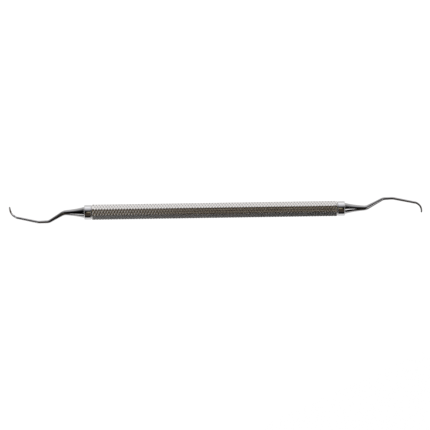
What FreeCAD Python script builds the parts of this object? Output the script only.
"""Double-ended dental hand scaler, as a parametric FreeCAD document (millimetres).

Frame: +X runs along the handle, +Z is up, and the origin is the centre of the handle facet that the
instrument rests on.  Five pieces: a hollow octagonal handle tube, two turned collars pressed into
its ends, and two bent working ends whose tangs sit in the collars.
"""
import FreeCAD, Part
import math
import os

import Sketcher

Vector = FreeCAD.Vector
Rotation = FreeCAD.Rotation
Placement = FreeCAD.Placement

# ---------------------------------------------------------------- driving dimensions
DIMENSIONS = {
    # octagonal handle tube
    "across_flats": 6.35,      # 1/4 inch bar
    "handle_length": 101.6,    # 4 inches
    "tube_bore": 4.3,
    "end_chamfer": 0.1,
    "knurl_pitch": 1.016,      # 25 grooves per inch, measured across the grooves
    "knurl_lean": 60.0,        # degrees between a groove and the handle's length
    "knurl_depth": 0.2,
    "knurl_flank": 30.0,       # degrees between a groove's flank and the facet
    "knurl_shift": 0.31,       # distance along the handle from one lean's grooves to the other's
    "knurl_rows": 86,          # grooves of one lean on one facet
    # turned collars
    "collar_bore": 2.4,
    "collar_dia": 6.15,
    "collar_reach": 3.3,       # from the handle's end face to the collar's outer face
    "collar_bevel": 0.45,      # beside the handle
    "collar_brow": 0.25,       # bevel beside the shank
    "spigot_length": 6.0,
    "spigot_chamfer": 0.3,
    # working ends: tang, tapering shank and blade
    "tang_length": 8.0,
    "shank_root_dia": 4.6,
    "shank_tip_dia": 0.95,
    "shank_taper": 6.7,        # length over which the taper falls to 1/e
    "knee_radius": 4.5,
    "elbow_radius": 3.0,
    "wrist_radius": 6.0,
    "blade_width": 1.0,
    "toe_width": 0.72,
    "toe_round": 0.55,         # length over which the toe rounds off
    "face_crown": 0.03,
    "face_run_in": 1.3,        # length over which the round shank becomes the flat face
    "face_tilt": 52.0,         # degrees between the blade's face and the plane of its curve
}

# Corners of each working end's centre line, from the middle of the handle: distance outwards along
# the handle, distance towards the side that the toe points to, and distance out of that plane.
LEFT_BENDS = {
    "knee": (62.5, 0.0, 0.0),
    "elbow": (68.75, -3.64, 0.8),
    "wrist": (73.1, -3.78, 1.1),
    "heel": (81.45, -1.92, 0.3),
}
RIGHT_BENDS = {
    "knee": (62.9, 0.0, 0.0),
    "elbow": (70.05, -3.75, 0.25),
    "wrist": (74.0, -3.88, 0.4),
    "heel": (83.1, -1.97, 0.1),
}
BLADES = {"left": {"radius": 4.55, "sweep": 81.0}, "right": {"radius": 3.45, "sweep": 92.0}}

KNURLED_FACETS = ((0, 2, 4, 6), (1, 5))    # groups of facets that share no edge, 45 degrees apart
SHANK_SECTIONS = 60
BLADE_SECTIONS = 16
TOE_SECTIONS = 5
TOE_REACH = 0.985           # share of the rounding that the last section stands at


# ---------------------------------------------------------------- document helpers
doc = FreeCAD.newDocument("hand_scaler")
sheet = doc.addObject("Spreadsheet::Sheet", "Dims")


def fill_sheet():
    """Put every driving dimension into the sheet, each under its own alias."""
    rows = dict(DIMENSIONS)
    for side, bends in (("left", LEFT_BENDS), ("right", RIGHT_BENDS)):
        for bend, corner in bends.items():
            for direction, distance in zip(("reach", "offset", "lift"), corner):
                rows[f"{side}_{bend}_{direction}"] = distance
        for name, number in BLADES[side].items():
            rows[f"{side}_blade_{name}"] = number
    for row, (alias, number) in enumerate(rows.items(), start=1):
        sheet.set(f"A{row}", alias)
        sheet.set(f"B{row}", str(number))
        sheet.setAlias(f"B{row}", alias)
    doc.recompute()


def value(expression):
    """The number that an expression on the sheet gives."""
    result = sheet.evalExpression(expression)
    return float(getattr(result, "Value", result))


def origin_plane(body, role):
    return next(item for item in body.Origin.OriginFeatures if item.Role == role)


def new_sketch(body, role, name):
    sketch = body.newObject("Sketcher::SketchObject", name)
    sketch.AttachmentSupport = [(origin_plane(body, role), "")]
    sketch.MapMode = "FlatFace"
    return sketch


def outline(body, role, name, corners):
    """A closed polygon on a body's own plane; each corner is a pair of sheet expressions."""
    sketch = new_sketch(body, role, name)
    points = [Vector(value(across), value(up), 0) for across, up in corners]
    for here, there in zip(points, points[1:] + points[:1]):
        sketch.addGeometry(Part.LineSegment(here, there), False)
    for side in range(len(corners)):
        following = (side + 1) % len(corners)
        sketch.addConstraint(Sketcher.Constraint("Coincident", side, 2, following, 1))
    for side, (across, up) in enumerate(corners):
        for kind, expression in (("DistanceX", across), ("DistanceY", up)):
            number = sketch.addConstraint(
                Sketcher.Constraint(kind, -1, 1, side, 1, value(expression)))
            sketch.setExpression(f"Constraints[{number}]", expression)
    return sketch


def revolved(body, name, kind, sketch):
    """A full turn of a sketch about the body's X axis."""
    feature = body.newObject(kind, name)
    feature.Profile = sketch
    feature.ReferenceAxis = (origin_plane(body, "X_Axis"), [""])
    feature.Angle = 360
    doc.recompute()
    return feature


def on_handle_axis(rotation):
    """A placement whose origin is the middle of the handle, on its axis."""
    return Placement(Vector(0, 0, value("Dims.across_flats / 2")), rotation)


# ---------------------------------------------------------------- handle tube
def handle_blank():
    """Octagonal bar with turned end chamfers and a through bore."""
    body = doc.addObject("PartDesign::Body", "handle_blank")
    flat = "Dims.across_flats / 2"
    half_side = "Dims.across_flats / 2 * tan(22.5 deg)"
    corners = []
    for signs in ((1, 1), (-1, 1), (-1, -1), (1, -1)):
        across, up = (f"{sign} * {{}}" for sign in signs)
        pair = [(across.format(flat), up.format(half_side)), (across.format(half_side), up.format(flat))]
        corners += pair if signs[0] == signs[1] else reversed(pair)
    pad = body.newObject("PartDesign::Pad", "octagon_bar")
    pad.Profile = outline(body, "YZ_Plane", "octagon", corners)
    pad.SideType = "Symmetric"
    pad.setExpression("Length", "Dims.handle_length")
    doc.recompute()

    for end, name in ((-1, "left"), (1, "right")):
        end_face = f"{end} * Dims.handle_length / 2"
        edge = "Dims.across_flats / 2"
        inner = f"{end} * (Dims.handle_length / 2 - 2 * Dims.end_chamfer)"
        sketch = outline(body, "XY_Plane", f"{name}_chamfer_outline", [
            (end_face, f"{edge} - Dims.end_chamfer"),
            (end_face, f"{edge} + Dims.end_chamfer"),
            (inner, f"{edge} + Dims.end_chamfer"),
        ])
        revolved(body, f"{name}_chamfer", "PartDesign::Groove", sketch)

    circle = new_sketch(body, "YZ_Plane", "bore_circle")
    circle.addGeometry(Part.Circle(Vector(0, 0, 0), Vector(0, 0, 1), value("Dims.tube_bore / 2")), False)
    circle.addConstraint(Sketcher.Constraint("Coincident", 0, 3, -1, 1))
    number = circle.addConstraint(Sketcher.Constraint("Radius", 0, value("Dims.tube_bore / 2")))
    circle.setExpression(f"Constraints[{number}]", "Dims.tube_bore / 2")
    bore = body.newObject("PartDesign::Pocket", "bore")
    bore.Profile = circle
    bore.SideType = "Symmetric"
    bore.setExpression("Length", "Dims.handle_length + 2")
    doc.recompute()
    return body


def groove_tool(along, lean):
    """A V-section bar across the +Y facet, centred `along` the handle."""
    facet = value("Dims.across_flats / 2")
    depth = value("Dims.knurl_depth")
    overshoot = 0.05
    run = Vector(math.cos(lean), 0, -math.sin(lean))
    side = Vector(math.sin(lean), 0, math.cos(lean))
    half_run = value("Dims.across_flats / 2 * tan(22.5 deg)") / math.sin(lean) + 4 * depth
    root = Vector(along, facet - depth, 0) - run * half_run
    rise = Vector(0, depth + overshoot, 0)
    spread = side * ((depth + overshoot) / math.tan(math.radians(value("Dims.knurl_flank"))))
    corners = [root, root + rise + spread, root + rise - spread, root]
    return Part.Face(Part.makePolygon(corners)).extrude(run * (2 * half_run))


def grooves(lean, shift, facets):
    """All the groove tools of one lean on a group of facets, moved by `shift` along the handle."""
    axial_pitch = value("Dims.knurl_pitch / sin(Dims.knurl_lean * 1 deg)")
    rows = int(value("Dims.knurl_rows"))
    bars = [groove_tool((row - (rows - 1) / 2) * axial_pitch + shift, lean) for row in range(rows)]
    tools = []
    for facet in facets:
        turn = Placement(Vector(0, 0, 0), Rotation(Vector(1, 0, 0), 45 * facet))
        for bar in bars:
            tool = bar.copy()
            tool.Placement = turn
            tools.append(tool)
    return tools


def handle_tube():
    """The handle blank with six of its eight facets diamond-knurled; two opposite facets stay plain.

    A thousand grooves are too many for a pattern feature, so one plain feature holds the cut shape.
    """
    shape = handle_blank().Shape
    lean = math.radians(value("Dims.knurl_lean"))
    half_shift = value("Dims.knurl_shift / 2")
    for facets in KNURLED_FACETS:
        for angle, shift in ((lean, -half_shift), (math.pi - lean, half_shift)):
            shape = shape.cut(grooves(angle, shift, facets))
    tube = doc.addObject("Part::Feature", "handle_tube")
    tube.Shape = max(shape.Solids, key=lambda solid: solid.Volume)    # grooves cut crumbs loose at the ends
    tube.Placement = on_handle_axis(Rotation())
    return tube


# ---------------------------------------------------------------- collars
def collar(name, rotation):
    """Turned ferrule: a bevelled ring outside the handle, a spigot in its bore, a hole for the tang."""
    body = doc.addObject("PartDesign::Body", name)
    end_face = "Dims.handle_length / 2"
    outer_face = "Dims.handle_length / 2 + Dims.collar_reach"
    rim = "Dims.collar_dia / 2"
    spigot = "Dims.tube_bore / 2"
    tail = "Dims.handle_length / 2 - Dims.spigot_length"
    sketch = outline(body, "XY_Plane", f"{name}_outline", [
        (tail, "Dims.collar_bore / 2"),
        (tail, f"{spigot} - Dims.spigot_chamfer"),
        (f"{tail} + Dims.spigot_chamfer", spigot),
        (end_face, spigot),
        (end_face, f"{rim} - Dims.collar_bevel"),
        (f"{end_face} + Dims.collar_bevel", rim),
        (f"{outer_face} - Dims.collar_brow", rim),
        (outer_face, f"{rim} - Dims.collar_brow"),
        (outer_face, "Dims.collar_bore / 2"),
    ])
    revolved(body, f"{name}_turning", "PartDesign::Revolution", sketch)
    body.Placement = on_handle_axis(rotation)
    return body


# ---------------------------------------------------------------- working ends
def rounded_route(corners, radii):
    """Edges of a centre line: straight runs joined by tangent arcs, one radius per inner corner."""
    edges = []
    start = corners[0]
    for before, corner, after, radius in zip(corners, corners[1:], corners[2:], radii):
        inward = (before - corner).normalize()
        outward = (after - corner).normalize()
        half_angle = inward.getAngle(outward) / 2
        tangent = radius / math.tan(half_angle)
        centre = corner + (inward + outward).normalize() * (radius / math.sin(half_angle))
        middle = centre + (corner - centre).normalize() * radius
        arc_start = corner + inward * tangent
        arc_end = corner + outward * tangent
        edges.append(Part.LineSegment(start, arc_start).toShape())
        edges.append(Part.Arc(arc_start, middle, arc_end).toShape())
        start = arc_end
    edges.append(Part.LineSegment(start, corners[-1]).toShape())
    return edges


def point_on(edges, distance):
    """Point and direction at a distance along a chain of edges."""
    for edge in edges[:-1]:
        if distance <= edge.Length:
            break
        distance -= edge.Length
    else:
        edge = edges[-1]
    parameter = edge.getParameterByLength(min(distance, edge.Length))
    return edge.valueAt(parameter), edge.tangentAt(parameter)


def shank(side, edges):
    """Round bar that tapers along the bends: ruled spans between circles whose sizes are on the sheet."""
    length = sum(edge.Length for edge in edges)
    circles = []
    for station in range(SHANK_SECTIONS + 1):
        distance = length * station / SHANK_SECTIONS
        point, direction = point_on(edges, distance)
        circle = doc.addObject("Part::Circle", f"{side}_shank_{station:02d}")
        circle.Placement = Placement(point, Rotation(Vector(0, 0, 1), direction))
        circle.setExpression("Radius", "(Dims.shank_tip_dia + (Dims.shank_root_dia - Dims.shank_tip_dia)"
                                       f" * exp(-{distance:.4f} / Dims.shank_taper)) / 2")
        circles.append(circle)
    loft = doc.addObject("Part::Loft", f"{side}_shank")
    loft.Sections = circles
    loft.Solid = True
    loft.Ruled = True
    return loft


def blade_section(point, chord, facing, half_width, crown):
    """Half-moon outline: a round back and a face that bulges by `crown`, a full circle at the heel."""
    edge_a = point - chord * half_width
    edge_b = point + chord * half_width
    back = Part.Arc(edge_a, point - facing * half_width, edge_b)
    face = Part.Arc(edge_b, point + facing * crown, edge_a)
    return Part.Wire([back.toShape(), face.toShape()])


def blade_half_width(distance, length, heel_half_width):
    """Half the blade's width at a distance from its heel: it swells, tapers, then rounds off."""
    wide, narrow = value("Dims.blade_width / 2"), value("Dims.toe_width / 2")
    half_width = wide + (narrow - wide) * distance / length
    swelling = eased(distance / value("Dims.face_run_in"))
    half_width = heel_half_width + (half_width - heel_half_width) * swelling
    toe_round = value("Dims.toe_round")
    into_toe = max(0.0, (distance - (length - toe_round)) / toe_round)
    return half_width * math.sqrt(1 - into_toe ** 2)


def eased(share):
    """A smooth step from 0 to 1."""
    share = min(max(share, 0.0), 1.0)
    return share * share * (3 - 2 * share)


def blade(side, heel, direction, hand, heel_half_width):
    """Curved blade: the round shank runs into a half-moon section that ends in a rounded toe."""
    radius = value(f"Dims.{side}_blade_radius")
    length = radius * math.radians(value(f"Dims.{side}_blade_sweep"))
    toe_round = value("Dims.toe_round")
    tilt = math.radians(value("Dims.face_tilt"))
    toward = (Vector(0, 1, 0) - direction * direction.y).normalize()
    across = direction.cross(toward) * hand
    centre = heel + toward * radius

    straight = length - toe_round
    distances = [straight * step / BLADE_SECTIONS for step in range(BLADE_SECTIONS + 1)]
    distances += [straight + toe_round * TOE_REACH * math.sin(math.pi / 2 * step / TOE_SECTIONS)
                  for step in range(1, TOE_SECTIONS + 1)]
    sections = []
    for distance in distances:
        turn = distance / radius
        inward = toward * math.cos(turn) - direction * math.sin(turn)
        along = direction * math.cos(turn) + toward * math.sin(turn)
        facing = inward * math.cos(tilt) + across * math.sin(tilt)
        half_width = blade_half_width(distance, length, heel_half_width)
        flatness = eased(distance / value("Dims.face_run_in"))
        crown = half_width + (value("Dims.face_crown") - half_width) * flatness
        crown = min(crown, half_width)
        point = centre - inward * radius
        sections.append(blade_section(point, along.cross(facing), facing, half_width, crown))
    feature = doc.addObject("Part::Feature", f"{side}_blade")
    feature.Shape = Part.makeLoft(sections, True, False)
    return feature


def working_end(side, hand, rotation):
    """One piece of hardened bar: tang, tapering shank with three bends, and blade.

    The two ends are mirror images, so `hand` is 1 or -1 and sets which way the bends lift.
    """
    bends = ("knee", "elbow", "wrist", "heel")
    root_reach = value("Dims.handle_length / 2 + Dims.collar_reach")
    corners = [Vector(root_reach, 0, 0)]
    for bend in bends:
        reach, offset, lift = (value(f"Dims.{side}_{bend}_{part}") for part in ("reach", "offset", "lift"))
        corners.append(Vector(reach, offset, lift * hand))
    radii = [value(f"Dims.{bend}_radius") for bend in bends[:-1]]
    edges = rounded_route(corners, radii)
    heel, direction = point_on(edges, sum(edge.Length for edge in edges))

    tang = doc.addObject("Part::Cylinder", f"{side}_tang")
    tang.setExpression("Radius", "Dims.collar_bore / 2")
    tang.setExpression("Height", "Dims.tang_length")
    tang.Placement = Placement(Vector(root_reach, 0, 0), Rotation(Vector(0, 0, 1), Vector(-1, 0, 0)))
    bar = shank(side, edges)
    doc.recompute()
    heel_half_width = bar.Sections[-1].Radius.Value

    whole = doc.addObject("Part::MultiFuse", f"{side}_working_end")
    whole.Shapes = [tang, bar, blade(side, heel, direction, hand, heel_half_width)]
    whole.Refine = False
    whole.Placement = on_handle_axis(rotation)
    doc.recompute()
    return whole


# ---------------------------------------------------------------- build, check and write
def main():
    fill_sheet()
    turned_about_z = Rotation(Vector(0, 0, 1), 180)
    turned_about_y = Rotation(Vector(0, 1, 0), 180)
    turned_about_x = Rotation(Vector(1, 0, 0), 180)
    pieces = {
        "handle_tube": handle_tube(),
        "left_collar": collar("left_collar", turned_about_z),
        "right_collar": collar("right_collar", Rotation()),
        "left_working_end": working_end("left", -1, turned_about_y),
        "right_working_end": working_end("right", 1, turned_about_x),
    }
    doc.recompute()
    for item in doc.Objects:
        if "Invalid" in item.State or "Error" in item.State:
            raise RuntimeError(f"{item.Name} failed: {item.State}")
    os.makedirs("parts", exist_ok=True)
    for node, piece in pieces.items():
        piece.Label = node
        solids = piece.Shape.Solids
        if piece.Shape.isNull() or not piece.Shape.isValid() or len(solids) != 1:
            raise RuntimeError(f"{node}: null, invalid or not one solid")
        solids[0].exportStep(f"parts/{node}.step")
        box = solids[0].BoundBox
        print(f"{node}: {solids[0].Volume:.1f} mm3, {len(solids[0].Faces)} faces,"
              f" x {box.XMin:.2f}..{box.XMax:.2f}, y {box.YMin:.2f}..{box.YMax:.2f},"
              f" z {box.ZMin:.2f}..{box.ZMax:.2f}")


main()
